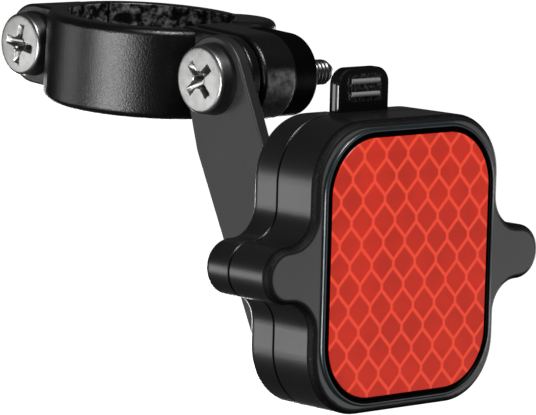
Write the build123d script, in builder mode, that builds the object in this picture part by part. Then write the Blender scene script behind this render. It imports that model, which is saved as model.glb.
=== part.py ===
from build123d import *
import os
from math import cos, radians, sin, sqrt

os.makedirs("parts", exist_ok=True)

# Bicycle reflector on a seat-post clamp, in millimetres.
# The origin is the middle of the clamp's bore. Z runs up the seat post, the screws run along X
# with their heads at -X, and the reflector faces -Y.

# Clamp ring
tube_d = 25.4
ring_wall = 2.95
ring_h = 13.5
seam_offset = 2.025
seam_gap = 0.35
ring_edge_r = 1.1
bore_edge_r = 0.3

# Lugs of the clamp
clamp_reach = 2.6
clamp_z = -0.02
clamp_lug_r = 6.1
near_lug_r = 6.25
knuckle_r = 6.5
thick_clamp_lug = 9.85
thin_clamp_lug = 2.0
thin_lug_r = 5.8
nut_rim_h = 2.0
thin_pivot_lug = 1.9
knuckle_len = 6.5
barrel_len = 4.65
barrel_step = 0.3
pivot_rise = 0.7
lug_edge_r = 0.45
knuckle_edge_r = 0.8

# Raised shoulder between the pivot barrel and the ring
shoulder_r = 5.4
shoulder_out = 0.87
shoulder_angle = 39.3
shoulder_h = 0.4
shoulder_edge_r = 1.2

# Screws and nuts
screw_d = 4.0
pivot_head_d = 10.7
pivot_head_face_d = 9.9
clamp_head_d = 10.0
clamp_head_face_d = 9.3
head_h = 2.72
head_edge_r = 0.5
recess_w = 6.4
recess_slot = 1.2
recess_depth = 1.9
recess_pit_r = 1.25
pivot_screw_len = 23.0
clamp_screw_len = 16.0
nut_flats = 7.0
nut_h = 3.2
hole_play = 0.05
head_play = 0.25
nut_play = 0.06
side_play = 0.05

# Arm
arm_thick = 2.15
arm_eye_r = 6.4
arm_ring_gap = 0.51
arm_neck_r = 7.0
arm_neck_back = -3.75
arm_neck_drop = -8.1
arm_foot_depth = 8.65
arm_edge_r = 0.4

# Place of the reflector, from the pivot to the middle of the sheet's face
face_ahead = 37.567
face_below = 20.962
tilt = 3.694

# Housing
body_w = 35.7
body_h = 41.6
body_depth = 14.3
corner_r = 9.0
shell_wall = 1.8
back_wall = 1.5
front_edge_r = 1.0
back_edge_r = 1.6
seam_chamfer = 0.22
ear_reach = 4.75
ear_r = 4.0
ear_z = -0.05
ear_blend_r = 4.5
lip_h = 1.2
lip_wall = 0.9
lip_play = 0.1

# Sheet and the bead around it
sheet_thick = 0.6
groove_w = 0.494
bead_w = 0.8
bead_h = 0.45
bead_r = 0.34
rim_side = 1.3
rim_top = 1.07
sheet_corner_r = 8.0

# Slide on the back of the housing and the tongue of the arm
tongue_half_w = 8.0
tongue_thick = 2.6
tongue_top = 8.0
tongue_bottom = -16.0
tongue_play = 0.17
rail_w = 1.8
rail_lip = 1.2
rail_catch = 1.3
stop_h = 1.8

# Release lever
lever_w = 9.9
lever_thick = 2.2
lever_rise = 6.25
lever_corner_r = 2.4
lever_edge_r = 0.45
slot_rim = 1.5
slot_back_play = 0.2
pin_z = 12.0
pin_set = 0.5
pin_d = 1.6
pin_barrel_r = 1.7
pin_boss_r = 2.0
pin_boss_w = 2.0
latch_w = 6.0
hook_z = 5.2
hook_h = 0.8
hook_root_h = 2.4
hook_catch = 0.8
press_angle = 8.0
slot_play = 0.2
pad_w = 5.4
pad_rib_h = 0.45
pad_rib_w = 0.8
pad_pitch = 1.9
pad_drop = 1.9

# Ear screws
ear_screw_d = 2.6
ear_screw_len = 8.0
ear_head_d = 5.0
ear_head_h = 1.9
ear_bore_d = 5.6
ear_bore_depth = 3.0
ear_screw_play = 0.04

# Places that follow from the sizes
bore_r = tube_d / 2
ring_r = bore_r + ring_wall
screw_r = screw_d / 2
hole_r = screw_r + hole_play
seam_in = seam_offset - seam_gap / 2
seam_out = seam_offset + seam_gap / 2
clamp_y = ring_r + clamp_reach
pivot_z = pivot_rise
arm_in_x = -(seam_out + thin_pivot_lug + side_play)
arm_out_x = arm_in_x - arm_thick
pivot_y = -(sqrt(ring_r**2 - arm_in_x**2) + arm_ring_gap + arm_eye_r)
knuckle_end = knuckle_len - seam_in
barrel_end = knuckle_end + barrel_len
lug_root = bore_r * 0.8
ring_top = ring_h / 2
shoulder_at = bore_r + shoulder_out
shoulder_x = shoulder_at * cos(radians(shoulder_angle))
shoulder_y = -shoulder_at * sin(radians(shoulder_angle))

face_y = pivot_y - face_ahead
face_z = pivot_z - face_below
lean = radians(tilt)
up = Vector(0, sin(lean), cos(lean))
back = Vector(0, cos(lean), -sin(lean))
middle = Vector(0, face_y, face_z)

sheet_w = body_w - 2 * (rim_side + bead_w + groove_w)
sheet_h = body_h - 2 * (rim_top + bead_w + groove_w)
front_t = bead_h
floor_t = sheet_thick
wall_t = floor_t + shell_wall
ear_x = body_w / 2 + ear_reach
ear_side = body_h / 2 - corner_r - ear_r - abs(ear_z)
ear_blend = min(ear_blend_r, ear_reach - 0.05, ear_side - 0.1)
body_top = body_h / 2

back_wall_t = body_depth - back_wall
lever_back_t = back_wall_t - slot_back_play
lever_t = lever_back_t - lever_thick
seam_t = lever_t - slot_play - slot_rim
pin_t = lever_t + pin_set
tongue_t = body_depth + tongue_play
tongue_back_t = tongue_t + tongue_thick
rail_x = tongue_half_w + 0.15
lip_t = tongue_back_t + 0.2
hook_t = tongue_t + hook_catch
# Height at which the pressed lever's back first meets the back wall, less the play of the slot
press = radians(press_angle)
lever_half = lever_back_t - pin_t
meet = (back_wall_t - pin_t - lever_half * cos(press)) / sin(press)
notch_z = pin_z + meet * cos(press) - lever_half * sin(press) - slot_play


def face(t):
    """Plane across the housing at depth t behind the sheet's face, looking forward."""
    return Plane(origin=middle + back * t, x_dir=(1, 0, 0), z_dir=-back)


def level(z):
    """Plane across the housing at height z above its middle, with x across and y to the back."""
    return Plane(origin=middle + up * z, x_dir=(1, 0, 0), z_dir=up)


def side(x):
    """Plane along the housing at x, with its own x to the back and its own y up."""
    return Plane(origin=middle + Vector(x, 0, 0), x_dir=back, z_dir=(1, 0, 0))


def place(t, z):
    """Depth t and height z in the housing, as y and z of the whole object."""
    spot = middle + back * t + up * z
    return (spot.Y, spot.Z)


def lug(x0, x1, y, z, radius, root_y, edge_r):
    """Lug from x0 to x1, round about (y, z) and straight from there back to root_y."""
    with BuildPart() as body:
        with BuildSketch(Plane.YZ.offset(x0)):
            with Locations((y, z)):
                Circle(radius)
            with Locations(((y + root_y) / 2, z)):
                Rectangle(abs(root_y - y), 2 * radius)
        extrude(amount=x1 - x0)
        rims = body.faces().filter_by(Axis.X).edges().filter_by(Axis.Z, reverse=True)
        fillet(rims, edge_r)
    return body.part


def pan_screw(base_x, y, z, length, seat_d, face_d, turn):
    """Pan head screw along +X with its head's seat at base_x and a cross recess, turned by turn."""
    along = Plane(origin=(base_x, y, z), x_dir=(1, 0, 0), z_dir=(0, -1, 0))
    with BuildPart() as body:
        with BuildSketch(along):
            with BuildLine():
                seat = Line((0, screw_r), (0, seat_d / 2))
                rim = Line(seat @ 1, (-head_h + 0.15, face_d / 2))
                dome = ThreePointArc(rim @ 1, (-head_h + 0.04, face_d / 4), (-head_h, 0))
                axis = Line(dome @ 1, (length, 0))
                tip = Line(axis @ 1, (length, screw_r * 0.62))
                lead = Line(tip @ 1, (length - 1.1, screw_r))
                Line(lead @ 1, seat @ 0)
            make_face()
        revolve(axis=Axis((base_x, y, z), (1, 0, 0)))
        rim_x = base_x - head_h + 0.15
        rim_edges = body.edges().filter_by_position(Axis.X, rim_x - 0.01, rim_x + 0.01)
        fillet(rim_edges, head_edge_r)
        # Cross recess: two slots that narrow towards their bottom, round a pointed pit
        for quarter in (turn, turn + 90):
            wing = Vector(0, cos(radians(quarter)), sin(radians(quarter)))
            across = Plane(origin=(base_x - head_h, y, z), x_dir=wing, z_dir=wing.cross(Vector(1, 0, 0)))
            with BuildSketch(across):
                Polygon(
                    (-recess_w / 2, -0.1),
                    (recess_w / 2, -0.1),
                    (recess_w / 5, recess_depth),
                    (-recess_w / 5, recess_depth),
                    align=None,
                )
            extrude(amount=recess_slot / 2, both=True, mode=Mode.SUBTRACT)
        with BuildSketch(along):
            Polygon(
                (-head_h - 0.1, 0),
                (-head_h - 0.1, recess_pit_r),
                (-head_h + recess_depth + 0.3, 0),
                align=None,
            )
        revolve(axis=Axis((base_x, y, z), (1, 0, 0)), mode=Mode.SUBTRACT)
    return body.part


def hex_nut(x0, y, z):
    """Hexagon nut from x0 towards +X, with the corners of both faces turned off."""
    corner = nut_flats / sqrt(3)
    with BuildPart() as body:
        with BuildSketch(Plane.YZ.offset(x0)):
            with Locations((y, z)):
                RegularPolygon(nut_flats / 2, 6, major_radius=False)
                Circle(hole_r, mode=Mode.SUBTRACT)
        extrude(amount=nut_h)
        with BuildSketch(Plane(origin=(x0, y, z), x_dir=(1, 0, 0), z_dir=(0, -1, 0))):
            with BuildLine():
                Polyline(
                    (0, 0),
                    (0, nut_flats / 2 * 0.97),
                    (0.35, corner),
                    (nut_h - 0.35, corner),
                    (nut_h, nut_flats / 2 * 0.97),
                    (nut_h, 0),
                    close=True,
                )
            make_face()
        revolve(axis=Axis((x0, y, z), (1, 0, 0)), mode=Mode.INTERSECT)
    return body.part


def half_ring(front_x, rear_x, keep):
    """Half of the ring: keep -1 for the near half and 1 for the far half, cut at the two seams."""
    with BuildPart() as body:
        with BuildSketch(Plane.XZ) as section:
            with Locations((bore_r, 0)):
                Rectangle(ring_wall, ring_h, align=(Align.MIN, Align.CENTER))
            fillet(section.vertices().group_by(Axis.X)[-1], ring_edge_r)
            fillet(section.vertices().group_by(Axis.X)[0], bore_edge_r)
        revolve(axis=Axis.Z)
        with BuildSketch(Plane.XY.offset(-ring_h)):
            with Locations((front_x - keep * 2 * ring_r, 2 * ring_r)):
                Rectangle(4 * ring_r, 4 * ring_r)
            with Locations((rear_x - keep * 2 * ring_r, -2 * ring_r)):
                Rectangle(4 * ring_r, 4 * ring_r)
        extrude(amount=2 * ring_h, mode=Mode.SUBTRACT)
    return body.part


# Halves of the ring and the lugs that they carry
near_ring = half_ring(seam_in, -seam_out, -1)
far_ring = half_ring(seam_out, -seam_in, 1)
near_clamp_x = seam_in - thick_clamp_lug
far_clamp_x = seam_out + thin_clamp_lug
near_clamp_lug = lug(near_clamp_x, seam_in, clamp_y, clamp_z, clamp_lug_r, lug_root, lug_edge_r)
near_lug_x = arm_in_x + side_play
near_pivot_lug = lug(near_lug_x, -seam_out, pivot_y, pivot_z, near_lug_r, -lug_root, lug_edge_r)
far_clamp_lug = lug(seam_out, far_clamp_x + nut_rim_h, clamp_y, clamp_z, thin_lug_r, lug_root, lug_edge_r)
knuckle = lug(-seam_in, knuckle_end, pivot_y, pivot_z, knuckle_r, -lug_root, knuckle_edge_r)
barrel_r = knuckle_r - barrel_step
barrel = lug(knuckle_end - 2, barrel_end, pivot_y, pivot_z, barrel_r, -lug_root, knuckle_edge_r)

with BuildPart() as clamp_near_half:
    add(near_ring)
    add(near_clamp_lug)
    add(near_pivot_lug)
    with BuildSketch(Plane.XY.offset(-ring_h)):
        Circle(bore_r)
    extrude(amount=2 * ring_h, mode=Mode.SUBTRACT)
    with BuildSketch(Plane.YZ.offset(-ring_r)):
        with Locations((clamp_y, clamp_z), (pivot_y, pivot_z)):
            Circle(hole_r)
    extrude(amount=2 * ring_r, mode=Mode.SUBTRACT)
    # Spot face in the ring for the head of the clamp screw
    with BuildSketch(Plane.YZ.offset(near_clamp_x)):
        with Locations((clamp_y, clamp_z)):
            Circle(clamp_head_d / 2 + head_play)
    extrude(amount=-ring_r, mode=Mode.SUBTRACT)
clamp_near_half.part.label = "clamp_near_half"

with BuildPart() as clamp_far_half:
    add(far_ring)
    add(far_clamp_lug)
    add(knuckle)
    add(barrel)
    # Shoulder that stiffens the root of the barrel
    shoulder_spot = (shoulder_x, shoulder_y, 0)
    with BuildSketch(Plane(origin=shoulder_spot, x_dir=(1, 0, 0), z_dir=(0, -1, 0))) as shoulder:
        with Locations((0, -ring_top)):
            Rectangle(shoulder_r, ring_h + shoulder_h, align=(Align.MIN, Align.MIN))
        fillet(shoulder.vertices().sort_by(Axis.X)[-2:].sort_by(Axis.Z)[-1], shoulder_edge_r)
    revolve(axis=Axis(shoulder_spot, (0, 0, 1)))
    with BuildSketch(Plane.XY.offset(-ring_h)):
        Circle(bore_r)
    extrude(amount=2 * ring_h, mode=Mode.SUBTRACT)
    with BuildSketch(Plane.YZ.offset(-ring_r)):
        with Locations((clamp_y, clamp_z), (pivot_y, pivot_z)):
            Circle(hole_r)
    extrude(amount=2 * ring_r, mode=Mode.SUBTRACT)
    # Hexagon pockets that keep the nuts from turning
    with BuildSketch(Plane.YZ.offset(barrel_end - nut_h)):
        with Locations((pivot_y, pivot_z)):
            RegularPolygon(nut_flats / 2 + nut_play, 6, major_radius=False)
    extrude(amount=2 * nut_h, mode=Mode.SUBTRACT)
    with BuildSketch(Plane.YZ.offset(far_clamp_x)):
        with Locations((clamp_y, clamp_z)):
            RegularPolygon(nut_flats / 2 + nut_play, 6, major_radius=False)
    extrude(amount=2 * nut_h, mode=Mode.SUBTRACT)
clamp_far_half.part.label = "clamp_far_half"

clamp_screw = pan_screw(
    near_clamp_x, clamp_y, clamp_z, clamp_screw_len, clamp_head_d, clamp_head_face_d, 8
)
clamp_screw.label = "clamp_screw"
pivot_seat_x = arm_out_x - side_play
pivot_screw = pan_screw(
    pivot_seat_x, pivot_y, pivot_z, pivot_screw_len, pivot_head_d, pivot_head_face_d, 45
)
pivot_screw.label = "pivot_screw"
clamp_nut = hex_nut(far_clamp_x, clamp_y, clamp_z)
clamp_nut.label = "clamp_nut"
pivot_nut = hex_nut(barrel_end - nut_h, pivot_y, pivot_z)
pivot_nut.label = "pivot_nut"

# Outlines of the housing, drawn about its middle
with BuildSketch() as body_outline:
    RectangleRounded(body_w, body_h, corner_r)
    for hand in (-1, 1):
        with Locations((hand * ear_x, ear_z)):
            Circle(ear_r)
        with Locations((hand * (ear_x - ear_reach), ear_z)):
            Rectangle(2 * ear_reach, 2 * ear_r)
    inner_corners = [
        v
        for v in body_outline.vertices()
        if abs(abs(v.X) - body_w / 2) < 0.01 and abs(v.Y - ear_z) < ear_r + 0.01
    ]
    fillet(inner_corners, ear_blend)

with BuildPart() as front_shell:
    with BuildSketch(face(seam_t)):
        add(body_outline.sketch)
    extrude(amount=seam_t - front_t)
    fillet(front_shell.faces().sort_by(Axis(middle, -back))[-1].edges(), front_edge_r)
    chamfer(front_shell.faces().sort_by(Axis(middle, -back))[0].edges(), seam_chamfer)
    # Raised bead round the sheet, and the bed that the sheet lies in
    with BuildSketch(face(front_t + 0.5)):
        RectangleRounded(
            sheet_w + 2 * groove_w + 2 * bead_w,
            sheet_h + 2 * groove_w + 2 * bead_w,
            sheet_corner_r + groove_w + bead_w,
        )
    extrude(amount=front_t + 0.5)
    with BuildSketch(face(floor_t)):
        RectangleRounded(sheet_w + 2 * groove_w, sheet_h + 2 * groove_w, sheet_corner_r + groove_w)
    extrude(amount=2 * floor_t, mode=Mode.SUBTRACT)
    crest = front_shell.faces().sort_by(Axis(middle, -back))[-1]
    fillet(crest.edges(), bead_r)
    # Hollow inside and the pilot holes in the ears
    with BuildSketch(face(seam_t)):
        RectangleRounded(body_w - 2 * shell_wall, body_h - 2 * shell_wall, corner_r - shell_wall)
    extrude(amount=seam_t - wall_t, mode=Mode.SUBTRACT)
    with BuildSketch(face(seam_t)):
        with Locations((-ear_x, ear_z), (ear_x, ear_z)):
            Circle(ear_screw_d / 2 + ear_screw_play)
    extrude(amount=ear_screw_len - (body_depth - ear_bore_depth - seam_t) + 0.5, mode=Mode.SUBTRACT)
front_shell.part.label = "front_shell"

with BuildPart() as rear_shell:
    with BuildSketch(face(body_depth)):
        add(body_outline.sketch)
    extrude(amount=body_depth - seam_t)
    fillet(rear_shell.faces().sort_by(Axis(middle, back))[-1].edges(), back_edge_r)
    chamfer(rear_shell.faces().sort_by(Axis(middle, back))[0].edges(), seam_chamfer)
    # Lip that centres the two shells on each other
    with BuildSketch(face(seam_t + 0.5)):
        inset = shell_wall + lip_play
        RectangleRounded(body_w - 2 * inset, body_h - 2 * inset, corner_r - inset)
    extrude(amount=lip_h + 0.5)
    with BuildSketch(face(back_wall_t)):
        inset = shell_wall + lip_play + lip_wall
        RectangleRounded(body_w - 2 * inset, body_h - 2 * inset, corner_r - inset)
    extrude(amount=back_wall_t, mode=Mode.SUBTRACT)
    # Rails and stop for the tongue
    with BuildSketch(level(tongue_bottom + 1)):
        for hand in (-1, 1):
            with Locations((hand * (rail_x + rail_w / 2), (body_depth - 0.6 + lip_t + rail_lip) / 2)):
                Rectangle(rail_w, lip_t + rail_lip - body_depth + 0.6)
            hook_w = rail_w + rail_catch + 0.15
            with Locations((hand * (rail_x + rail_w - hook_w / 2), lip_t + rail_lip / 2)):
                Rectangle(hook_w, rail_lip)
    extrude(amount=tongue_top - tongue_bottom - 1 + stop_h)
    with BuildSketch(face(tongue_back_t)):
        with Locations((0, tongue_top + 0.1 + stop_h / 2)):
            Rectangle(2 * rail_x + 1, stop_h - 0.1)
    extrude(amount=tongue_back_t - body_depth + 0.6)
    # Bosses that hold the lever's pin
    for hand in (-1, 1):
        boss_x = hand * (lever_w / 2 + slot_play + pin_boss_w / 2)
        with BuildSketch(side(boss_x)):
            with Locations((pin_t, pin_z)):
                Circle(pin_boss_r)
            with Locations(((pin_t + back_wall_t + 0.3) / 2, pin_z)):
                Rectangle(back_wall_t + 0.3 - pin_t, 2 * pin_boss_r)
            with Locations((pin_t, pin_z)):
                Circle(pin_d / 2 + 0.02, mode=Mode.SUBTRACT)
        extrude(amount=pin_boss_w / 2, both=True)
    # Slot in the top and the notch behind the lever
    with BuildSketch(face(body_depth + 1)):
        with Locations((0, notch_z)):
            Rectangle(lever_w + 2 * slot_play, body_h, align=(Align.CENTER, Align.MIN))
    extrude(amount=body_depth + 1 - lever_t + slot_play, mode=Mode.SUBTRACT)
    # Window for the hook
    with BuildSketch(face(body_depth + 1)):
        with Locations((0, hook_z + 0.3)):
            Rectangle(latch_w + 0.6, hook_root_h + 0.9, align=(Align.CENTER, Align.MAX))
    extrude(amount=shell_wall + 1.5, mode=Mode.SUBTRACT)
    # Screw holes in the ears
    with Locations(
        face(body_depth).location * Rotation(0, 180, 0) * Pos(ear_x, ear_z, 0),
        face(body_depth).location * Rotation(0, 180, 0) * Pos(-ear_x, ear_z, 0),
    ):
        CounterBoreHole(ear_screw_d / 2 + ear_screw_play, ear_bore_d / 2, ear_bore_depth, depth=body_depth)
rear_shell.part.label = "rear_shell"

with BuildPart() as reflector_sheet:
    with BuildSketch(face(floor_t)):
        RectangleRounded(sheet_w, sheet_h, sheet_corner_r)
    extrude(amount=sheet_thick)
    chamfer(reflector_sheet.faces().sort_by(Axis(middle, -back))[-1].edges(), 0.1)
reflector_sheet.part.label = "reflector_sheet"

with BuildPart() as arm:
    # Cheek from the pivot down to the tongue
    with BuildSketch(Plane.YZ.offset(arm_out_x)):
        with Locations((pivot_y, pivot_z)):
            Circle(arm_eye_r)
        with Locations((pivot_y + arm_neck_back, pivot_z + arm_neck_drop)):
            Circle(arm_neck_r)
        foot_z = tongue_bottom + 1.0
        Polygon(
            place(tongue_back_t - 0.9, -5.2),
            place(tongue_back_t - 0.9, foot_z),
            place(tongue_back_t + arm_foot_depth, foot_z + 0.5),
            align=None,
        )
        make_hull()
    extrude(amount=arm_thick)
    fillet(arm.faces().filter_by(Axis.X).edges(), arm_edge_r)
    with BuildSketch(Plane.YZ.offset(arm_out_x)):
        with Locations((pivot_y, pivot_z)):
            Circle(hole_r)
    extrude(amount=arm_thick, mode=Mode.SUBTRACT)
    # Tongue behind the housing, with the window that the hook catches in
    with BuildSketch(face(tongue_back_t)) as tongue:
        with Locations((0, (tongue_top + tongue_bottom) / 2)):
            RectangleRounded(2 * tongue_half_w, tongue_top - tongue_bottom, 1.2)
        with Locations((0, hook_z + 0.15)):
            Rectangle(
                latch_w + 0.6,
                hook_root_h + 0.75,
                align=(Align.CENTER, Align.MAX),
                mode=Mode.SUBTRACT,
            )
    extrude(amount=tongue_thick)
    # Ribs that brace the tongue from the cheek
    for rib_z in (tongue_bottom + 3, tongue_bottom + 10):
        with BuildSketch(level(rib_z)):
            with BuildLine():
                Polyline(
                    (arm_in_x - 0.5, tongue_back_t - 0.5),
                    (tongue_half_w - 2.5, tongue_back_t - 0.5),
                    (arm_in_x - 0.5, tongue_back_t + 4.5),
                    close=True,
                )
            make_face()
        extrude(amount=1.5)
arm.part.label = "arm"

with BuildPart() as release_lever:
    # Plate that stands above the housing, and its narrow lower end
    with BuildSketch(face(lever_back_t)) as plate:
        with Locations((0, body_top + lever_rise)):
            Rectangle(lever_w, body_top + lever_rise - pin_z, align=(Align.CENTER, Align.MAX))
        fillet(plate.vertices().group_by(Axis.Z)[-1], lever_corner_r)
    extrude(amount=lever_thick)
    plate_faces = release_lever.faces().filter_by(Axis(middle, back))
    fillet(plate_faces.edges().filter_by(Axis.X, reverse=True), lever_edge_r)
    with BuildSketch(face(lever_back_t)):
        with Locations((0, pin_z + 1)):
            Rectangle(latch_w, pin_z + 1 - hook_z + hook_root_h, align=(Align.CENTER, Align.MAX))
    extrude(amount=lever_thick)
    # Barrel on the pin
    with BuildSketch(side(-lever_w / 2)):
        with Locations((pin_t, pin_z)):
            Circle(pin_barrel_r)
    extrude(amount=lever_w)
    with BuildSketch(side(-lever_w / 2)):
        with Locations((pin_t, pin_z)):
            Circle(pin_d / 2 + hole_play)
    extrude(amount=lever_w, mode=Mode.SUBTRACT)
    # Hook with its flat catch above and its ramp below
    with BuildSketch(side(-latch_w / 2)):
        with BuildLine():
            Polyline(
                (lever_back_t - 0.5, hook_z),
                (hook_t, hook_z),
                (hook_t, hook_z - hook_h),
                (lever_back_t - 0.5, hook_z - hook_root_h),
                close=True,
            )
        make_face()
    extrude(amount=latch_w)
    # Ribs of the thumb pad
    for row in range(2):
        with BuildSketch(side(-pad_w / 2)):
            with Locations((lever_t, body_top + lever_rise - pad_drop - row * pad_pitch)):
                Ellipse(pad_rib_h, pad_rib_w / 2)
        extrude(amount=pad_w)
release_lever.part.label = "release_lever"

with BuildPart() as lever_pin:
    pin_half = lever_w / 2 + slot_play + pin_boss_w
    with BuildSketch(side(-pin_half)):
        with Locations((pin_t, pin_z)):
            Circle(pin_d / 2)
    extrude(amount=2 * pin_half)
lever_pin.part.label = "lever_pin"


def ear_screw(hand):
    """Pan head screw in one ear, put in from the back."""
    seat_t = body_depth - ear_bore_depth
    with BuildPart() as body:
        with BuildSketch(face(seat_t)):
            with Locations((hand * ear_x, ear_z)):
                Circle(ear_screw_d / 2)
        extrude(amount=ear_screw_len)
        with BuildSketch(face(seat_t + ear_head_h)):
            with Locations((hand * ear_x, ear_z)):
                Circle(ear_head_d / 2)
        extrude(amount=ear_head_h)
        back_face = body.faces().sort_by(Axis(middle, back))[-1]
        fillet(back_face.edges(), 0.7)
        with BuildSketch(face(seat_t + ear_head_h)):
            with Locations((hand * ear_x, ear_z)):
                Rectangle(ear_head_d * 0.55, 0.7)
                Rectangle(0.7, ear_head_d * 0.55)
        extrude(amount=ear_head_h * 0.6, taper=4, mode=Mode.SUBTRACT)
    return body.part


ear_screw_left = ear_screw(-1)
ear_screw_left.label = "ear_screw_left"
ear_screw_right = ear_screw(1)
ear_screw_right.label = "ear_screw_right"

# One STEP file for each piece
pieces = {
    "clamp_near_half": clamp_near_half.part,
    "clamp_far_half": clamp_far_half.part,
    "clamp_screw": clamp_screw,
    "clamp_nut": clamp_nut,
    "pivot_screw": pivot_screw,
    "pivot_nut": pivot_nut,
    "arm": arm.part,
    "front_shell": front_shell.part,
    "rear_shell": rear_shell.part,
    "reflector_sheet": reflector_sheet.part,
    "release_lever": release_lever.part,
    "lever_pin": lever_pin.part,
    "ear_screw_left": ear_screw_left,
    "ear_screw_right": ear_screw_right,
}
for name, piece in pieces.items():
    export_step(piece, f"parts/{name}.step")
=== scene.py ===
"""Looks of a bicycle reflector on a seat-post clamp: finishes, threaded screws, studio and camera."""
import logging
import math
from dataclasses import dataclass, field
from enum import Enum
from typing import Any, ClassVar, Sequence, Union

import bmesh
import bpy
from mathutils import Matrix, Vector


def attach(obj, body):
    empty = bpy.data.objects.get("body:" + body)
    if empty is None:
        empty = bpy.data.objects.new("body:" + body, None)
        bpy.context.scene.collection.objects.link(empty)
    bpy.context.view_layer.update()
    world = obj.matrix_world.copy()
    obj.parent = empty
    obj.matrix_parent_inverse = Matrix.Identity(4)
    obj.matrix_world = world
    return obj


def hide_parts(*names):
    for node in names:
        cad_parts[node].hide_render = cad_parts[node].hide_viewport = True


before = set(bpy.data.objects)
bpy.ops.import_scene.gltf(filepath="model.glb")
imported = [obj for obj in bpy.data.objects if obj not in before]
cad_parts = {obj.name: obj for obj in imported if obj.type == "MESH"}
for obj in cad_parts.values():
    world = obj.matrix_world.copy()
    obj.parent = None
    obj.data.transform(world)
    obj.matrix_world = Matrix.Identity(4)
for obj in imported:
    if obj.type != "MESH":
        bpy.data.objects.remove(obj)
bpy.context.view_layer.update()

LOG = logging.getLogger("reflector")
MM = 0.001
MM_PER_METRE = 1000
Colour = tuple[float, float, float]
Range = tuple[float, float]
Number = Union[int, float]
Key = Union[str, int]


def linear(red: int, green: int, blue: int) -> Colour:
    """Turns a colour as a screen shows it into the linear values that shaders use.

    Args:
        red: Red from 0 to 255.
        green: Green from 0 to 255.
        blue: Blue from 0 to 255.

    Returns:
        The three linear values from 0 to 1.
    """

    def one(value: int) -> float:
        """Linear value of one channel, by the sRGB curve."""
        share = value / 255
        return share / 12.92 if share <= 0.04045 else ((share + 0.055) / 1.055) ** 2.4

    return (one(red), one(green), one(blue))


def shade(colour: Colour, factor: float) -> Colour:
    """Darkens or lightens a colour.

    Args:
        colour: The linear colour.
        factor: Below 1 to darken it, above 1 to lighten it.

    Returns:
        The new linear colour.
    """
    return tuple(part * factor for part in colour)


# Black of the painted shade skins laid over parts that stand in shade
PAINTED_SHADE_BLACK = linear(3, 3, 3)
WHITE = (1.0, 1.0, 1.0)


class Value:
    """One number socket of a shader, so that shader sums are written as plain sums."""

    def __init__(self, shader: "Shader", socket: bpy.types.NodeSocket) -> None:
        """Keeps the socket and the shader that it belongs to."""
        self.shader = shader
        self.socket = socket

    def _math(self, operation: str, *others: Union["Value", Number], flip: bool = False) -> "Value":
        """Adds a Math node.

        Args:
            operation: The Math node's operation.
            others: The other values, after this one.
            flip: Whether this value comes second.

        Returns:
            The node's result.
        """
        values = [others[0], self, *others[1:]] if flip else [self, *others]
        return self.shader.node("ShaderNodeMath", {"operation": operation}, dict(enumerate(values)))

    def __add__(self, other: Union["Value", Number]) -> "Value":
        """Sum."""
        return self._math("ADD", other)

    __radd__ = __add__

    def __sub__(self, other: Union["Value", Number]) -> "Value":
        """Difference."""
        return self._math("SUBTRACT", other)

    def __rsub__(self, other: Number) -> "Value":
        """Difference from a number."""
        return self._math("SUBTRACT", other, flip=True)

    def __mul__(self, other: Union["Value", Number]) -> "Value":
        """Product."""
        return self._math("MULTIPLY", other)

    __rmul__ = __mul__

    def __truediv__(self, other: Union["Value", Number]) -> "Value":
        """Quotient."""
        return self._math("DIVIDE", other)

    def __abs__(self) -> "Value":
        """Size without sign."""
        return self._math("ABSOLUTE")

    def __pow__(self, other: Number) -> "Value":
        """Power."""
        return self._math("POWER", other)

    def least(self, other: Union["Value", Number]) -> "Value":
        """The smaller of two values."""
        return self._math("MINIMUM", other)

    def most(self, other: Union["Value", Number]) -> "Value":
        """The larger of two values."""
        return self._math("MAXIMUM", other)

    def below(self, other: Union["Value", Number]) -> "Value":
        """1 where this value is the smaller one, else 0."""
        return self._math("LESS_THAN", other)

    def between(self, start: float, end: float, blur: float = 0.05) -> "Value":
        """1 between start and end, else 0, with soft ends.

        Args:
            start: Lower end.
            end: Upper end.
            blur: How far each soft end reaches to either side.

        Returns:
            The share from 0 to 1.
        """
        return self.smooth(start - blur, start + blur) * (1 - self.smooth(end - blur, end + blur))

    def wrapped(self, width: float) -> "Value":
        """Repeats the value between minus and plus half of width."""
        return self._math("WRAP", width / 2, -width / 2)

    def smooth(self, start: float, end: float) -> "Value":
        """Rises smoothly from 0 at start to 1 at end.

        Args:
            start: Where the rise begins.
            end: Where the rise ends.

        Returns:
            The smoothed value.
        """
        settings = {"interpolation_type": "SMOOTHSTEP"}
        sockets = {"Value": self, "From Min": start, "From Max": end}
        return self.shader.node("ShaderNodeMapRange", settings, sockets)


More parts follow.
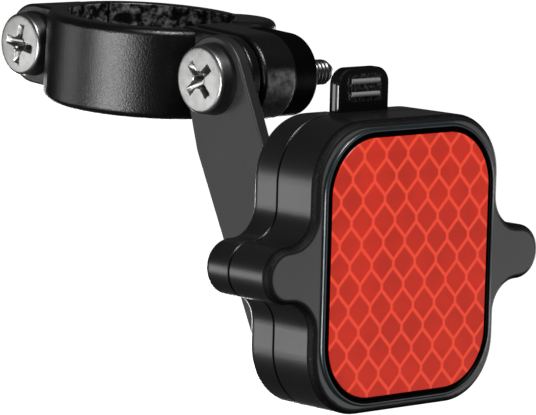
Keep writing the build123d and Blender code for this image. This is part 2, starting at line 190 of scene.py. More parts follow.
class Shader:
    """A material with one Principled surface, built node by node."""

    # Sockets of a Mix node that mixes colours
    MIX_FIRST = 6
    MIX_SECOND = 7
    MIX_RESULT = 2

    def __init__(self, name: str) -> None:
        """Starts an empty material of that name."""
        self.material = bpy.data.materials.new(name)
        self.material.use_nodes = True
        self.tree = self.material.node_tree
        self.surface = self.tree.nodes["Principled BSDF"]
        self.places = self.tree.nodes.new("ShaderNodeTexCoord").outputs["Object"]

    def put(self, target: bpy.types.NodeSocket, value: Any) -> None:
        """Sets a socket, or links it.

        Args:
            target: The socket that takes the value.
            value: A Value, a socket, a number, a colour or a vector.
        """
        if isinstance(value, Value):
            value = value.socket
        if isinstance(value, bpy.types.NodeSocket):
            self.tree.links.new(value, target)
        elif isinstance(value, tuple) and len(value) == 3 and target.type == "RGBA":
            target.default_value = (*value, 1.0)
        else:
            target.default_value = value

    def node(
        self, kind: str, settings: dict[str, Any], sockets: dict[Key, Any], output: Key = 0
    ) -> Value:
        """Adds any node.

        Args:
            kind: The node's type.
            settings: Its properties, which are set first.
            sockets: Values or links of its input sockets, by name or number.
            output: The output socket wanted.

        Returns:
            That output.
        """
        made = self.tree.nodes.new(kind)
        for key, value in settings.items():
            setattr(made, key, value)
        for key, value in sockets.items():
            self.put(made.inputs[key], value)
        return Value(self, made.outputs[output])

    def noise(
        self,
        scale: float,
        detail: float = 2.0,
        roughness: float = 0.5,
        stretch: Sequence[float] = (1, 1, 1),
    ) -> Value:
        """Noise from 0 to 1 over the object.

        Args:
            scale: Grains per metre.
            detail: Octaves of finer noise.
            roughness: Strength of the finer octaves.
            stretch: Scale along X, Y and Z.

        Returns:
            The noise.
        """
        spots = self.node("ShaderNodeMapping", {}, {"Vector": self.places, "Scale": tuple(stretch)})
        sockets = {"Vector": spots, "Scale": scale, "Detail": detail, "Roughness": roughness}
        return self.node("ShaderNodeTexNoise", {}, sockets)

    def grains(self, scale: float, randomness: float = 1.0) -> Value:
        """Distance to the nearest of many scattered points, for pitted and grained skins.

        Args:
            scale: Points per metre.
            randomness: How unevenly the points lie.

        Returns:
            The distance, 0 at each point.
        """
        sockets = {"Vector": self.places, "Scale": scale, "Randomness": randomness}
        return self.node("ShaderNodeTexVoronoi", {}, sockets, "Distance")

    def mix(self, share: Any, first: Any, second: Any) -> Value:
        """Mixes two colours.

        Args:
            share: 0 for the first colour, 1 for the second.
            first: Colour or socket.
            second: Colour or socket.

        Returns:
            The mixed colour.
        """
        made = self.tree.nodes.new("ShaderNodeMix")
        made.data_type = "RGBA"
        self.put(made.inputs["Factor"], share)
        self.put(made.inputs[self.MIX_FIRST], first)
        self.put(made.inputs[self.MIX_SECOND], second)
        return Value(self, made.outputs[self.MIX_RESULT])

    def bump(self, height: Value, depth: float, strength: float = 1.0) -> None:
        """Raises the surface by a height from 0 to 1.

        Args:
            height: The height.
            depth: What a height of 1 is, in metres.
            strength: Share of the effect.
        """
        sockets = {"Height": height, "Distance": depth, "Strength": strength}
        self.put(self.surface.inputs["Normal"], self.node("ShaderNodeBump", {}, sockets))

    def paint_shade_skin(self, share: Value) -> None:
        """Lays painted shade, a dead black skin without gloss, over part of the surface.

        Args:
            share: 0 where the surface stays, 1 where the skin hides it.
        """
        skin = self.tree.nodes.new("ShaderNodeBsdfPrincipled")
        self.put(skin.inputs["Base Color"], PAINTED_SHADE_BLACK)
        self.put(skin.inputs["Roughness"], 1.0)
        self.put(skin.inputs["Specular IOR Level"], 0.0)
        surfaces = {0: share, 1: self.surface.outputs[0], 2: skin.outputs[0]}
        mixed = self.node("ShaderNodeMixShader", {}, surfaces)
        self.put(self.tree.nodes["Material Output"].inputs["Surface"], mixed)

    def finish(self, **sockets: Any) -> bpy.types.Material:
        """Sets sockets of the surface, with _ for a space in their names.

        Args:
            sockets: Values or links by socket name.

        Returns:
            The finished material.
        """
        for key, value in sockets.items():
            self.put(self.surface.inputs[key.replace("_", " ")], value)
        return self.material


@dataclass(frozen=True)
class Axes:
    """Axes that a shader measures along, in millimetres from a middle."""

    middle: tuple[float, float, float] = (0.0, 0.0, 0.0)
    lean: float = 0.0

    def along(self, shader: Shader, direction: Sequence[float]) -> Value:
        """Distance of the shaded spot from the middle.

        Args:
            shader: The shader that asks.
            direction: Unit direction of the distance.

        Returns:
            The distance in millimetres.
        """
        middle = tuple(part * MM for part in self.middle)
        moved = shader.node("ShaderNodeVectorMath", {"operation": "SUBTRACT"}, {0: shader.places, 1: middle})
        sockets = {0: moved, 1: tuple(part / MM for part in direction)}
        return shader.node("ShaderNodeVectorMath", {"operation": "DOT_PRODUCT"}, sockets, "Value")

    def across(self, shader: Shader) -> Value:
        """Distance to the right."""
        return self.along(shader, (1.0, 0.0, 0.0))

    def depth(self, shader: Shader) -> Value:
        """Distance backward."""
        return self.along(shader, (0.0, math.cos(self.lean), -math.sin(self.lean)))

    def upward(self, shader: Shader) -> Value:
        """Distance upward."""
        return self.along(shader, (0.0, math.sin(self.lean), math.cos(self.lean)))


# The clamp is measured from the middle of its bore, the housing from the middle of the sheet's face
CLAMP_AXES = Axes()
HOUSING_AXES = Axes((0.0, -59.567, -20.262), math.radians(3.694))


@dataclass(frozen=True)
class MouldedPlastic:
    """Moulded plastic with a spark-eroded grain."""

    name: str
    colour: Colour
    gloss: float
    grain: float
    grain_depth: float
    speckle: float = 0.0
    specular: float = 0.5

    # Scales of coarse noise and pits for a grain of 1 m, and flow marks per metre
    coarse_scale: ClassVar[float] = 0.22
    pit_scale: ClassVar[float] = 0.8
    flow_scale: ClassVar[float] = 60.0
    # Shares of fine noise, pits and coarse noise in the relief
    relief: ClassVar[tuple[float, float, float]] = (0.6, 0.4, 0.35)
    # Darkest and lightest shade, and the span of the flow noise that leads from one to the other
    shades: ClassVar[Range] = (0.75, 1.25)
    flow_span: ClassVar[Range] = (0.35, 0.7)
    # Pale specks: the spans of pits and coarse noise that make them, and how pale they are
    pit_span: ClassVar[Range] = (0.1, 0.42)
    clump_span: ClassVar[Range] = (0.45, 0.62)
    speck_gain: ClassVar[float] = 6
    speck_lift: ClassVar[float] = 0.02
    # How much grain and flow change the roughness
    grain_rough: ClassVar[float] = 0.12
    flow_rough: ClassVar[float] = 0.08

    def marks(self, shader: Shader, tone: Value, rough: Value) -> tuple[Value, Value]:
        """Places on the piece where the skin differs.

        Args:
            shader: The piece's shader.
            tone: Its colour.
            rough: Its roughness.

        Returns:
            The colour and roughness with those places.
        """
        return tone, rough

    def build(self) -> bpy.types.Material:
        """Makes the material."""
        shader = Shader(self.name)
        fine = shader.noise(1 / self.grain, 3.0, 0.6)
        coarse = shader.noise(self.coarse_scale / self.grain)
        flow = shader.noise(self.flow_scale)
        pits = shader.grains(self.pit_scale / self.grain)
        by_fine, by_pits, by_coarse = self.relief
        height = fine * by_fine + pits * by_pits + coarse * by_coarse
        shader.bump(height, self.grain_depth)
        dark, light = (shade(self.colour, factor) for factor in self.shades)
        tone = shader.mix(flow.smooth(*self.flow_span), dark, light)
        if self.speckle:
            spots = (1 - pits.smooth(*self.pit_span)) * coarse.smooth(*self.clump_span) * self.speckle
            pale = tuple(min(1.0, part * self.speck_gain + self.speck_lift) for part in self.colour)
            tone = shader.mix(spots, tone, pale)
        rough = self.gloss + (fine - 0.5) * self.grain_rough + (flow - 0.5) * self.flow_rough
        tone, rough = self.marks(shader, tone, rough)
        return shader.finish(Base_Color=tone, Roughness=rough, Specular_IOR_Level=self.specular)


@dataclass(frozen=True)
class ClampPlastic(MouldedPlastic):
    """Grained plastic of the clamp, with painted shade in dead black on the pivot barrel, painted glints
    mottling the bore and a painted highlight on the front of the knuckle.
    """

    # Where the pivot barrel starts, and how much painted shade covers it
    barrel_x: float = 4.65
    barrel_y: float = -15.8
    barrel_blur: float = 0.1
    barrel_shade_share: float = 0.85
    # Painted glints: paler mottled patches on the inner wall of the bore
    bore_r: float = 12.75
    bore_glint_span: Range = (0.44, 0.72)
    painted_bore_glint_tint: Colour = linear(112, 112, 114)
    painted_light_mottle_scale: float = 640.0
    # Painted highlight: a paler mottled patch on the front of the knuckle
    knuckle_x: Range = (-1.2, 4.15)
    knuckle_y: Range = (-26.5, -26.0)
    knuckle_z: Range = (-3.6, 2.4)
    knuckle_blur: Range = (0.2, 0.8)
    knuckle_highlight_span: Range = (0.3, 0.7)
    painted_knuckle_highlight: Colour = linear(84, 84, 85)

    def marks(self, shader: Shader, tone: Value, rough: Value) -> tuple[Value, Value]:
        """Adds painted shade on the barrel, painted glints in the bore and a painted highlight on the front
        of the knuckle.
        """
        x, y = CLAMP_AXES.across(shader), CLAMP_AXES.depth(shader)
        # Painted shade: a dead black skin over the pivot barrel beyond the knuckle
        beside = x.smooth(self.barrel_x, self.barrel_x + self.barrel_blur)
        barrel = beside * (1 - y.smooth(self.barrel_y, self.barrel_y + self.barrel_blur))
        shader.paint_shade_skin(barrel * self.barrel_shade_share)
        # Painted glints: paler mottled patches inside the bore
        bore = (x * x + y * y).below(self.bore_r**2)
        painted_light_mottle = shader.noise(self.painted_light_mottle_scale, 4.0, 0.65)
        tone = shader.mix(bore * painted_light_mottle.smooth(*self.bore_glint_span), tone, self.painted_bore_glint_tint)
        # Painted highlight on the front of the knuckle, mottled
        z = CLAMP_AXES.upward(shader)
        blur_x, blur_z = self.knuckle_blur
        knuckle = x.between(*self.knuckle_x, blur_x) * z.between(*self.knuckle_z, blur_z)
        knuckle = knuckle * (1 - y.smooth(*self.knuckle_y))
        tone = shader.mix(knuckle * painted_light_mottle.smooth(*self.knuckle_highlight_span), tone, self.painted_knuckle_highlight)
        return tone, rough


@dataclass(frozen=True)
class ShellPlastic(MouldedPlastic):
    """Satin plastic of the housing, with painted shade in black along its front edge, its seam and its
    groove, painted glints on the edge and a painted reflection on the bead.
    """

    # Seam between the shells, laid with painted shade
    seam: float = 8.7
    seam_half: float = 0.2
    plane: float = 0.45
    # Front edge: painted shade in black, broken by paler specks that are painted glints
    edge: Range = (0.12, 1.25)
    blur: float = 0.06
    edge_shade_share: float = 0.85
    edge_rough: float = 0.3
    glint_speck_scale: float = 5200.0
    glint_speck_span: Range = (0.6, 0.8)
    glint_speck_tint: Colour = linear(46, 46, 48)
    sheet_size: Range = (30.512, 36.872)
    sheet_r: float = 8.0
    groove: Range = (-0.5, 0.86)
    # Painted reflection: a blue-grey line on the bead beside the groove
    bead_end: float = 1.4
    painted_bead_reflection: Colour = linear(13, 24, 28)
    front_end: Range = (1.1, 1.2)
    line_shade_share: float = 0.95

    def marks(self, shader: Shader, tone: Value, rough: Value) -> tuple[Value, Value]:
        """Adds painted shade with painted glint specks on the edge, painted shade on the seam and in the
        groove, and the bead's painted blue-grey reflection.
        """
        depth = HOUSING_AXES.depth(shader)
        # Painted glints: paler specks on the rounded front edge
        edge = depth.between(*(self.plane + end for end in self.edge), self.blur)
        specks = shader.noise(self.glint_speck_scale, 2.0, 0.6).smooth(*self.glint_speck_span)
        tone = shader.mix(edge * specks, tone, self.glint_speck_tint)
        # Painted shade along the seam
        seam = depth.between(self.seam - self.seam_half, self.seam + self.seam_half, self.blur)
        past = []
        for place, size in zip((HOUSING_AXES.across(shader), HOUSING_AXES.upward(shader)), self.sheet_size):
            past.append((abs(place) - (size / 2 - self.sheet_r)).most(0.0))
        outside = (past[0] * past[0] + past[1] * past[1]) ** 0.5 - self.sheet_r
        # Painted shade in the groove around the sheet
        groove = outside.between(*self.groove) * (1 - depth.smooth(*self.front_end))
        # Painted reflection: blue-grey on the bead
        bead = outside.between(self.groove[1], self.bead_end) * (1 - depth.smooth(*self.front_end))
        tone = shader.mix(bead, tone, self.painted_bead_reflection)
        # Painted shade: a black skin on the front edge between the glints, on the seam and in the groove
        shaded_edge = edge * (1 - specks) * self.edge_shade_share
        shader.paint_shade_skin(shaded_edge.most(seam * self.line_shade_share).most(groove * self.line_shade_share))
        return tone, rough + edge * self.edge_rough


@dataclass(frozen=True)
class LeverPlastic(MouldedPlastic):
    """Black plastic of the release lever: painted shade over the face, glossy sides, a grained pad with
    painted glints, ribs with painted highlights and painted shadows above them.
    """

    half_width: float = 4.95
    face: float = 10.4
    face_end: Range = (0.05, 0.15)
    side_band: Range = (0.5, 0.1)
    stripes: tuple[Range, Range] = ((0.08, 0.5), (0.75, 1.35))
    pad: Range = (22.3, 26.1)
    pad_half: float = 3.3
    pad_blur: float = 0.3
    # Pad: paler specks on its real grain, painted as glints
    glint_speck_scale: float = 2600.0
    glint_speck_span: Range = (0.42, 0.66)
    glint_speck_tint: Colour = linear(62, 62, 65)
    ribs: Range = (23.25, 25.15)
    rib_shadow: Range = (0.38, 0.85)
    shadow_blur: float = 0.08
    shadow_tint: Colour = linear(2, 2, 2)
    # Ribs: how far they stand out, and their painted highlight
    rib_rise: Range = (0.3, 0.1)
    painted_rib_highlight: Colour = linear(104, 104, 106)
    # Share of the painted shade, a black skin over the lever beside the glossy stripes, pad specks and ribs
    lever_shade_share: float = 0.85
    dull: float = 0.6

    def marks(self, shader: Shader, tone: Value, rough: Value) -> tuple[Value, Value]:
        """Adds the pad with painted glints, the ribs with painted highlights and painted shadows above them,
        painted shade elsewhere, and the glossy sides.
        """
        across = abs(HOUSING_AXES.across(shader))
        depth, upward = HOUSING_AXES.depth(shader), HOUSING_AXES.upward(shader)
        face = 1 - depth.smooth(*(self.face + end for end in self.face_end))
        side = across.smooth(*(self.half_width - inset for inset in self.side_band))
        first, second = (depth.between(self.face + near, self.face + far) for near, far in self.stripes)
        shine = first + second
        pad = face * upward.between(*self.pad, self.pad_blur)
        pad = pad * (1 - across.smooth(self.pad_half - self.pad_blur, self.pad_half + self.pad_blur))
        # Painted glints: paler specks on the grained pad
        specks = shader.noise(self.glint_speck_scale, 2.0, 0.6).smooth(*self.glint_speck_span)
        tone = shader.mix(pad * specks, tone, self.glint_speck_tint)
        # Painted shadow in a band above each rib
        for height in self.ribs:
            above = upward.between(*(height + end for end in self.rib_shadow), self.shadow_blur)
            tone = shader.mix(above * pad, tone, self.shadow_tint)
        # Painted highlight on the ribs
        rib = 1 - depth.smooth(*(self.face - rise for rise in self.rib_rise))
        tone = shader.mix(rib, tone, self.painted_rib_highlight)
        # Painted shade: a dead black skin over the lever, except the glossy side stripes, the pad's glint
        # specks and the ribs
        shader.paint_shade_skin((1 - side * shine) * (1 - pad * specks) * (1 - rib) * self.lever_shade_share)
        return tone, rough + (self.dull - rough) * (1 - side * shine)


@dataclass(frozen=True)
class PlatedSteel:
    """Plated steel with fine turning marks and duller clouds, with painted shade on the head's side and the
    shank from a given x to the right.
    """

    name: str
    colour: Colour
    gloss: float
    marks: float
    shade_from_x: float = 30.0

    cloud_scale: ClassVar[float] = 700.0
    cloud_span: ClassVar[Range] = (0.35, 0.75)
    cloud_shade: ClassVar[float] = 0.86
    cloud_rough: ClassVar[float] = 0.1
    line_scale: ClassVar[float] = 2600.0
    line_stretch: ClassVar[tuple[float, float, float]] = (1.0, 0.15, 0.15)
    relief: ClassVar[float] = 0.01 * MM
    # Painted shade from that x on: the side of the head and the shank
    shade_blur: ClassVar[float] = 0.15
    painted_side_shade: ClassVar[Colour] = linear(92, 92, 92)

    def build(self) -> bpy.types.Material:
        """Makes the material."""
        shader = Shader(self.name)
        cloud = shader.noise(self.cloud_scale, 3.0, 0.6)
        lines = shader.noise(self.line_scale, stretch=self.line_stretch)
        shader.bump(lines * 0.5 + cloud * 0.5, self.relief, self.marks)
        tone = shader.mix(cloud.smooth(*self.cloud_span), self.colour, shade(self.colour, self.cloud_shade))
        # Painted shade on the side of the head and along the shank
        side = CLAMP_AXES.across(shader).smooth(self.shade_from_x, self.shade_from_x + self.shade_blur)
        tone = shader.mix(side, tone, self.painted_side_shade)
        rough = self.gloss + cloud * self.cloud_rough
        return shader.finish(Base_Color=tone, Roughness=rough, Metallic=1.0)


@dataclass(frozen=True)
class PrismSheet:
    """Red reflecting sheet: a net of sealed cells over fine prisms, with a faint clear coat."""

    name: str
    cell: Colour
    net: Colour
    cell_width: float = 4.19
    row_pitch: float = 3.108
    side_length: float = 1.01
    net_width: float = 0.5
    net_edge: Range = (0.22, 0.78)
    first_x: float = -1.22
    first_z: float = 0.384
    skew: float = 0.0124
    rise: float = -0.0025

    prism_scale: ClassVar[float] = 5200.0
    prism_unevenness: ClassVar[float] = 0.25
    prism_span: ClassVar[Range] = (0.2, 0.75)
    prism_share: ClassVar[float] = 0.25
    prism_shade: ClassVar[float] = 0.7
    cloud_scale: ClassVar[float] = 150.0
    cloud_span: ClassVar[Range] = (0.3, 0.7)
    cloud_shade: ClassVar[float] = 1.22
    # Dark cut edge of the sheet, by depth behind its face
    wall: ClassVar[Range] = (0.04, 0.12)
    wall_tint: ClassVar[Colour] = linear(4, 2, 2)
    # Heights of net and prisms in the relief, and its depth and strength
    net_height: ClassVar[float] = 0.8
    prism_height: ClassVar[float] = 0.12
    relief: ClassVar[float] = 0.04 * MM
    relief_strength: ClassVar[float] = 0.5
    gloss: ClassVar[float] = 0.34
    net_gloss: ClassVar[float] = 0.06

    def build(self) -> bpy.types.Material:
        """Makes the material."""
        shader = Shader(self.name)
        right, height = HOUSING_AXES.across(shader), HOUSING_AXES.upward(shader)
        across = right - height * self.skew
        upright = height - right * self.rise
        slope = (self.row_pitch - self.side_length) / (self.cell_width / 2)
        side, reach = [], []
        for step in (0.0, 0.5):
            dx = abs((across - self.first_x - step * self.cell_width).wrapped(self.cell_width))
            dz = abs((upright - self.first_z - 2 * step * self.row_pitch).wrapped(2 * self.row_pitch))
            side.append(dx)
            reach.append(dz + dx * slope)
        slant = abs(reach[0] - reach[1]) / (2 * math.sqrt(1 + slope**2))
        first = reach[0].below(reach[1])
        upright_gap = self.cell_width / 2 - (side[0] * first + side[1] * (1 - first))
        gap = slant.least(upright_gap)
        line = 1 - gap.smooth(*(self.net_width * end for end in self.net_edge))
        prisms = shader.grains(self.prism_scale, self.prism_unevenness)
        cloud = shader.noise(self.cloud_scale)
        tint = shader.mix(cloud.smooth(*self.cloud_span), self.cell, shade(self.cell, self.cloud_shade))
        dots = prisms.smooth(*self.prism_span) * self.prism_share
        tint = shader.mix(dots, tint, shade(self.cell, self.prism_shade))
        tone = shader.mix(line, tint, self.net)
        wall = HOUSING_AXES.depth(shader).smooth(*self.wall)
        tone = shader.mix(wall, tone, self.wall_tint)
        relief = line * self.net_height + prisms * (1 - line) * self.prism_height
        shader.bump(relief, self.relief, self.relief_strength)
        shader.finish(Base_Color=tone, Roughness=self.gloss - line * self.net_gloss)
        return shader.finish(Coat_Weight=0.03, Coat_Roughness=0.2, Specular_IOR_Level=0.1)


class Hand(Enum):
    """Way that a thread winds."""

    RIGHT = 1
    LEFT = -1


@dataclass
class ThreadedScrew:
    """Pan head screw in millimetres: the head of the solid, with a cut thread on its shank."""

    node: str
    seat_x: float
    axis_y: float
    axis_z: float
    length: float
    thread_start: float
    outer_r: float = 1.92
    pitch: float = 0.7
    depth: float = 0.43
    crest_half: float = 0.12
    tip: float = 1.1
    tip_taper: float = 0.38
    steps: int = 36
    spare_turns: int = 2
    weld: float = 0.002
    sharp_angle: float = 30.0
    hand: Hand = Hand.RIGHT

    @staticmethod
    def cut_beyond(mesh: bmesh.types.BMesh, x: float, outward: int) -> None:
        """Cuts a mesh off at x.

        Args:
            mesh: The mesh.
            x: Where it is cut.
            outward: 1 to drop what lies beyond x, -1 to drop what lies before it.
        """
        geom = list(mesh.verts) + list(mesh.edges) + list(mesh.faces)
        plane = {"plane_co": (x, 0, 0), "plane_no": (outward, 0, 0)}
        bmesh.ops.bisect_plane(mesh, geom=geom, clear_outer=True, **plane)

    @staticmethod
    def close(mesh: bmesh.types.BMesh) -> None:
        """Fills the open ends of a mesh."""
        open_edges = [edge for edge in mesh.edges if edge.is_boundary]
        bmesh.ops.holes_fill(mesh, edges=open_edges, sides=0)

    def thread(self, mesh: bmesh.types.BMesh) -> None:
        """Spins one groove of the thread along the shank, tapers its tip and closes both ends.

        Args:
            mesh: The mesh that the thread is added to.
        """
        start, end = self.thread_start, self.length
        turns = math.ceil((end - start) / self.pitch) + self.spare_turns
        root = self.outer_r - self.depth
        flat = self.pitch * self.crest_half
        shape = (
            (0.0, root),
            (self.pitch / 2 - flat, self.outer_r),
            (self.pitch / 2 + flat, self.outer_r),
            (self.pitch, root),
        )
        first_x = self.seat_x + start - self.spare_turns * self.pitch
        corners = [mesh.verts.new((first_x + along, self.axis_y, self.axis_z + out)) for along, out in shape]
        rim = [mesh.edges.new(pair) for pair in zip(corners, corners[1:])]
        bmesh.ops.spin(
            mesh,
            geom=corners + rim,
            cent=Vector((0.0, self.axis_y, self.axis_z)),
            axis=(1, 0, 0),
            dvec=(self.pitch / self.steps, 0, 0),
            angle=self.hand.value * 2 * math.pi * turns,
            steps=turns * self.steps,
            use_duplicate=False,
        )
        bmesh.ops.remove_doubles(mesh, verts=mesh.verts, dist=self.weld)
        self.cut_beyond(mesh, self.seat_x + start, -1)
        self.cut_beyond(mesh, self.seat_x + end, 1)
        nose = self.seat_x + end - self.tip
        for vert in mesh.verts:
            if vert.co.x > nose:
                share = (vert.co.x - nose) / self.tip
                radial = Vector((0, vert.co.y - self.axis_y, vert.co.z - self.axis_z))
                limit = self.outer_r * (1 - self.tip_taper * share)
                if radial.length > limit:
                    radial *= limit / radial.length
                vert.co.y, vert.co.z = self.axis_y + radial.y, self.axis_z + radial.z
        self.close(mesh)
        bmesh.ops.recalc_face_normals(mesh, faces=mesh.faces)

    def build(self, material: bpy.types.Material) -> bpy.types.Object:
        """Makes the screw and lets it stand for its solid.

        Args:
            material: The plated finish.

        Returns:
            The finished piece.
        """
        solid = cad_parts[self.node]
        head = bmesh.new()
        head.from_mesh(solid.data)
        bmesh.ops.remove_doubles(head, verts=head.verts, dist=1e-7)
        bmesh.ops.scale(head, vec=(MM_PER_METRE, MM_PER_METRE, MM_PER_METRE), verts=head.verts)
        self.cut_beyond(head, self.seat_x + self.thread_start, 1)
        self.close(head)
        winding = bmesh.new()
        self.thread(winding)
        scratch = bpy.data.meshes.new("winding")
        winding.to_mesh(scratch)
        head.from_mesh(scratch)
        winding.free()
        bpy.data.meshes.remove(scratch)
        bmesh.ops.scale(head, vec=(MM, MM, MM), verts=head.verts)
        for face in head.faces:
            face.smooth = True
        mesh = bpy.data.meshes.new(self.node + "_threaded")
        head.to_mesh(mesh)
        head.free()
        mesh.set_sharp_from_angle(angle=math.radians(self.sharp_angle))
        piece = bpy.data.objects.new(self.node + "_threaded", mesh)
        bpy.context.scene.collection.objects.link(piece)
        mesh.materials.append(material)
        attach(piece, "clamp")
        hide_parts(self.node)
        return piece


def dress(node: str, material: bpy.types.Material) -> None:
    """Gives a CAD node its material.

    Args:
        node: The node's name.
        material: Its finish.
    """
    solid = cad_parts[node]
    solid.data.materials.clear()
    solid.data.materials.append(material)
    LOG.info("%s: %s", node, material.name)


@dataclass
class Clamp:
    """Seat-post clamp: two grained halves, two threaded screws and two nuts."""

    plastic: MouldedPlastic = ClampPlastic(
        "clamp_nylon", linear(4, 4, 5), 0.3, 0.2 * MM, 0.05 * MM, speckle=0.15, specular=0.32
    )
    plating: tuple[PlatedSteel, ...] = (
        # The last number is where each screw's painted shade begins
        PlatedSteel("nickel_clamp_screw", linear(134, 134, 133), 0.29, 0.25, -10.15),
        PlatedSteel("nickel_pivot_screw", linear(134, 134, 133), 0.29, 0.25, -8.5),
    )
    zinc: PlatedSteel = PlatedSteel("zinc_plate", linear(150, 150, 149), 0.3, 0.5)
    screws: list[ThreadedScrew] = field(
        default_factory=lambda: [
            ThreadedScrew("clamp_screw", -8.0, 18.25, -0.02, 16.0, 12.0),
            ThreadedScrew("pivot_screw", -6.35, -22.0, 0.7, 23.0, 12.0),
        ]
    )

    def build(self) -> None:
        """Dresses the halves and nuts and makes the screws."""
        grained = self.plastic.build()
        for node in ("clamp_near_half", "clamp_far_half"):
            dress(node, grained)
        for screw, plating in zip(self.screws, self.plating):
            piece = screw.build(plating.build())
            LOG.info("%s: %d faces", piece.name, len(piece.data.polygons))
        dull = self.zinc.build()
        for node in ("clamp_nut", "pivot_nut"):
            dress(node, dull)


@dataclass
class Head:
    """Arm and housing with its sheet, lever, pin and ear screws."""

    arm: MouldedPlastic = MouldedPlastic(
        "arm_plastic", linear(18, 18, 19), 0.5, 0.25 * MM, 0.02 * MM, specular=0.42
    )
    shell: MouldedPlastic = ShellPlastic(
        "shell_plastic", linear(9, 9, 10), 0.32, 0.2 * MM, 0.008 * MM, specular=0.6
    )
    lever: MouldedPlastic = LeverPlastic("lever_plastic", linear(5, 5, 6), 0.12, 0.3 * MM, 0.003 * MM)
    zinc: PlatedSteel = PlatedSteel("zinc_screw", linear(150, 150, 148), 0.3, 0.8)
    sheet: PrismSheet = PrismSheet("prism_sheet", linear(186, 38, 20), linear(234, 70, 44))

    def build(self) -> None:
        """Dresses each piece of the head."""
        dress("arm", self.arm.build())
        shells = self.shell.build()
        for node in ("front_shell", "rear_shell"):
            dress(node, shells)
        dress("release_lever", self.lever.build())
        dress("reflector_sheet", self.sheet.build())
        plated = self.zinc.build()
        for node in ("lever_pin", "ear_screw_left", "ear_screw_right"):
            dress(node, plated)


@dataclass(frozen=True)
class Lamp:
    """Soft rectangular lamp, with its place and size in metres and its power in watts."""

    name: str
    spot: tuple[float, float, float]
    size: Range
    power: float

    def build(self, target: Sequence[float]) -> None:
        """Adds the lamp.

        Args:
            target: What it points at.
        """
        data = bpy.data.lights.new(self.name, "AREA")
        data.shape = "RECTANGLE"
        data.size, data.size_y = self.size
        data.energy = self.power
        lamp = bpy.data.objects.new(self.name, data)
        bpy.context.scene.collection.objects.link(lamp)
        aim = Vector(target) - Vector(self.spot)
        turn = aim.to_track_quat("-Z", "Y").to_matrix().to_4x4()
        lamp.matrix_world = Matrix.Translation(self.spot) @ turn


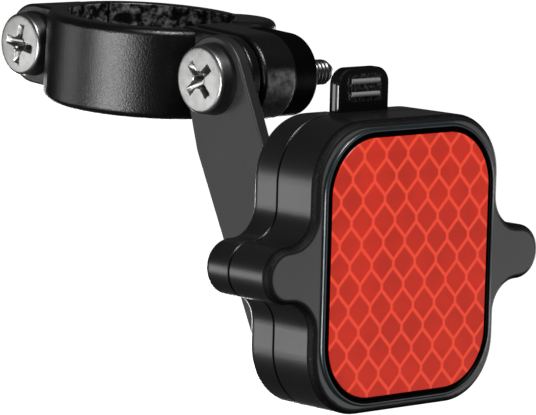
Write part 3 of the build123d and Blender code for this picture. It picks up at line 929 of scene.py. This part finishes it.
@dataclass
class Studio:
    """Pale floor, soft lamps and the camera at the photograph's angle."""

    # Camera: degrees, millimetres from the middle of the bore, and its lens
    azimuth: float = 42.475
    elevation: float = 10.364
    roll: float = 3.972
    distance: float = 601.0
    lens: float = 266.4
    sensor: float = 36.0
    clip_start: float = 0.01
    slide: float = 18.087
    drop: float = 22.521
    # Floor in metres. To the camera it glows from near_glow, and far_glow more in the distance
    floor_z: float = -0.42
    floor_half: float = 6.0
    floor_seen: float = 0.8
    floor_unseen: float = 0.04
    floor_rough: float = 0.9
    fade: Range = (0.2, 1.0)
    near_glow: float = 0.45
    far_glow: float = 0.55
    # Strength of the sky that lights the part, and the share of the camera's white in reflections
    sky: float = 0.008
    mirrored_sky: float = 0.05
    # Every lamp but the key stands lower than the reflector
    target: tuple[float, float, float] = (0.0, -0.03, -0.01)
    lamps: tuple[Lamp, ...] = (
        Lamp("key", (-0.1, -0.54, 0.95), (0.3, 0.3), 16.5),
        Lamp("front", (0.74, -0.84, -0.2), (0.7, 0.35), 1.5),
        Lamp("side", (-0.92, -0.16, -0.18), (0.65, 0.3), 13.0),
        Lamp("rim", (-0.75, 0.76, -0.21), (0.42, 0.36), 2.2),
        Lamp("right", (0.93, 0.15, -0.19), (0.6, 0.35), 3.2),
        Lamp("back", (0.52, 0.78, -0.34), (0.5, 0.35), 6.0),
    )

    def axes(self) -> tuple[Vector, Vector, Vector]:
        """Right, up and backward directions of the camera."""
        turn, tip, roll = (math.radians(angle) for angle in (self.azimuth, self.elevation, self.roll))
        away = Vector((-math.sin(turn) * math.cos(tip), -math.cos(turn) * math.cos(tip), math.sin(tip)))
        right = Vector((math.cos(turn), -math.sin(turn), 0))
        upward = away.cross(right)
        leaning = right * math.cos(roll) + upward * math.sin(roll)
        standing = upward * math.cos(roll) - right * math.sin(roll)
        return leaning, standing, away

    def camera(self) -> None:
        """Makes the camera."""
        right, upward, away = self.axes()
        data = bpy.data.cameras.new("camera")
        data.sensor_width = self.sensor
        data.lens = self.lens
        data.clip_start = self.clip_start
        camera = bpy.data.objects.new("camera", data)
        bpy.context.scene.collection.objects.link(camera)
        spot = (right * self.slide - upward * self.drop + away * self.distance) * MM
        turn = Matrix((right, upward, away)).transposed().to_4x4()
        camera.matrix_world = Matrix.Translation(spot) @ turn
        bpy.context.scene.camera = camera

    def floor(self) -> None:
        """Makes the floor, which is near white to the camera and dark to all other rays."""
        mesh = bmesh.new()
        bmesh.ops.create_grid(mesh, x_segments=1, y_segments=1, size=self.floor_half)
        bmesh.ops.translate(mesh, verts=mesh.verts, vec=(0, 0, self.floor_z))
        data = bpy.data.meshes.new("floor")
        mesh.to_mesh(data)
        mesh.free()
        floor = bpy.data.objects.new("floor", data)
        bpy.context.scene.collection.objects.link(floor)
        shader = Shader("pale_floor")
        x, y = CLAMP_AXES.across(shader) * MM, CLAMP_AXES.depth(shader) * MM
        away = (x * x + y * y) ** 0.5
        seen = shader.node("ShaderNodeLightPath", {}, {}, "Is Camera Ray")
        tone = shader.mix(seen, shade(WHITE, self.floor_unseen), shade(WHITE, self.floor_seen))
        shader.finish(Base_Color=tone, Roughness=self.floor_rough)
        strength = seen * (away.smooth(*self.fade) * self.far_glow + self.near_glow)
        shader.finish(Emission_Color=WHITE, Emission_Strength=strength)
        data.materials.append(shader.material)

    def world(self) -> None:
        """Sets a faint even sky, white where the camera sees it and a little brighter in reflections."""
        world = bpy.data.worlds.new("studio")
        world.use_nodes = True
        tree = world.node_tree
        sky = tree.nodes["Background"]
        sky.inputs["Color"].default_value = (*WHITE, 1)
        sky.inputs["Strength"].default_value = self.sky
        white = tree.nodes.new("ShaderNodeBackground")
        white.inputs["Color"].default_value = (*WHITE, 1)
        path = tree.nodes.new("ShaderNodeLightPath")
        mix = tree.nodes.new("ShaderNodeMixShader")
        glossy = tree.nodes.new("ShaderNodeMath")
        glossy.operation = "MULTIPLY_ADD"
        glossy.inputs[1].default_value = self.mirrored_sky
        tree.links.new(path.outputs["Is Glossy Ray"], glossy.inputs[0])
        tree.links.new(path.outputs["Is Camera Ray"], glossy.inputs[2])
        tree.links.new(glossy.outputs[0], mix.inputs[0])
        tree.links.new(sky.outputs[0], mix.inputs[1])
        tree.links.new(white.outputs[0], mix.inputs[2])
        tree.links.new(mix.outputs[0], tree.nodes["World Output"].inputs["Surface"])
        bpy.context.scene.world = world

    def build(self) -> None:
        """Sets the whole studio."""
        bpy.context.scene.view_settings.view_transform = "Standard"
        self.camera()
        self.floor()
        self.world()
        for lamp in self.lamps:
            lamp.build(self.target)


def main() -> None:
    """Builds the dressed reflector and its studio."""
    logging.basicConfig(level=logging.INFO, format="%(name)s: %(message)s")
    Clamp().build()
    Head().build()
    Studio().build()
    bpy.context.view_layer.update()


if __name__ == "__main__":
    main()
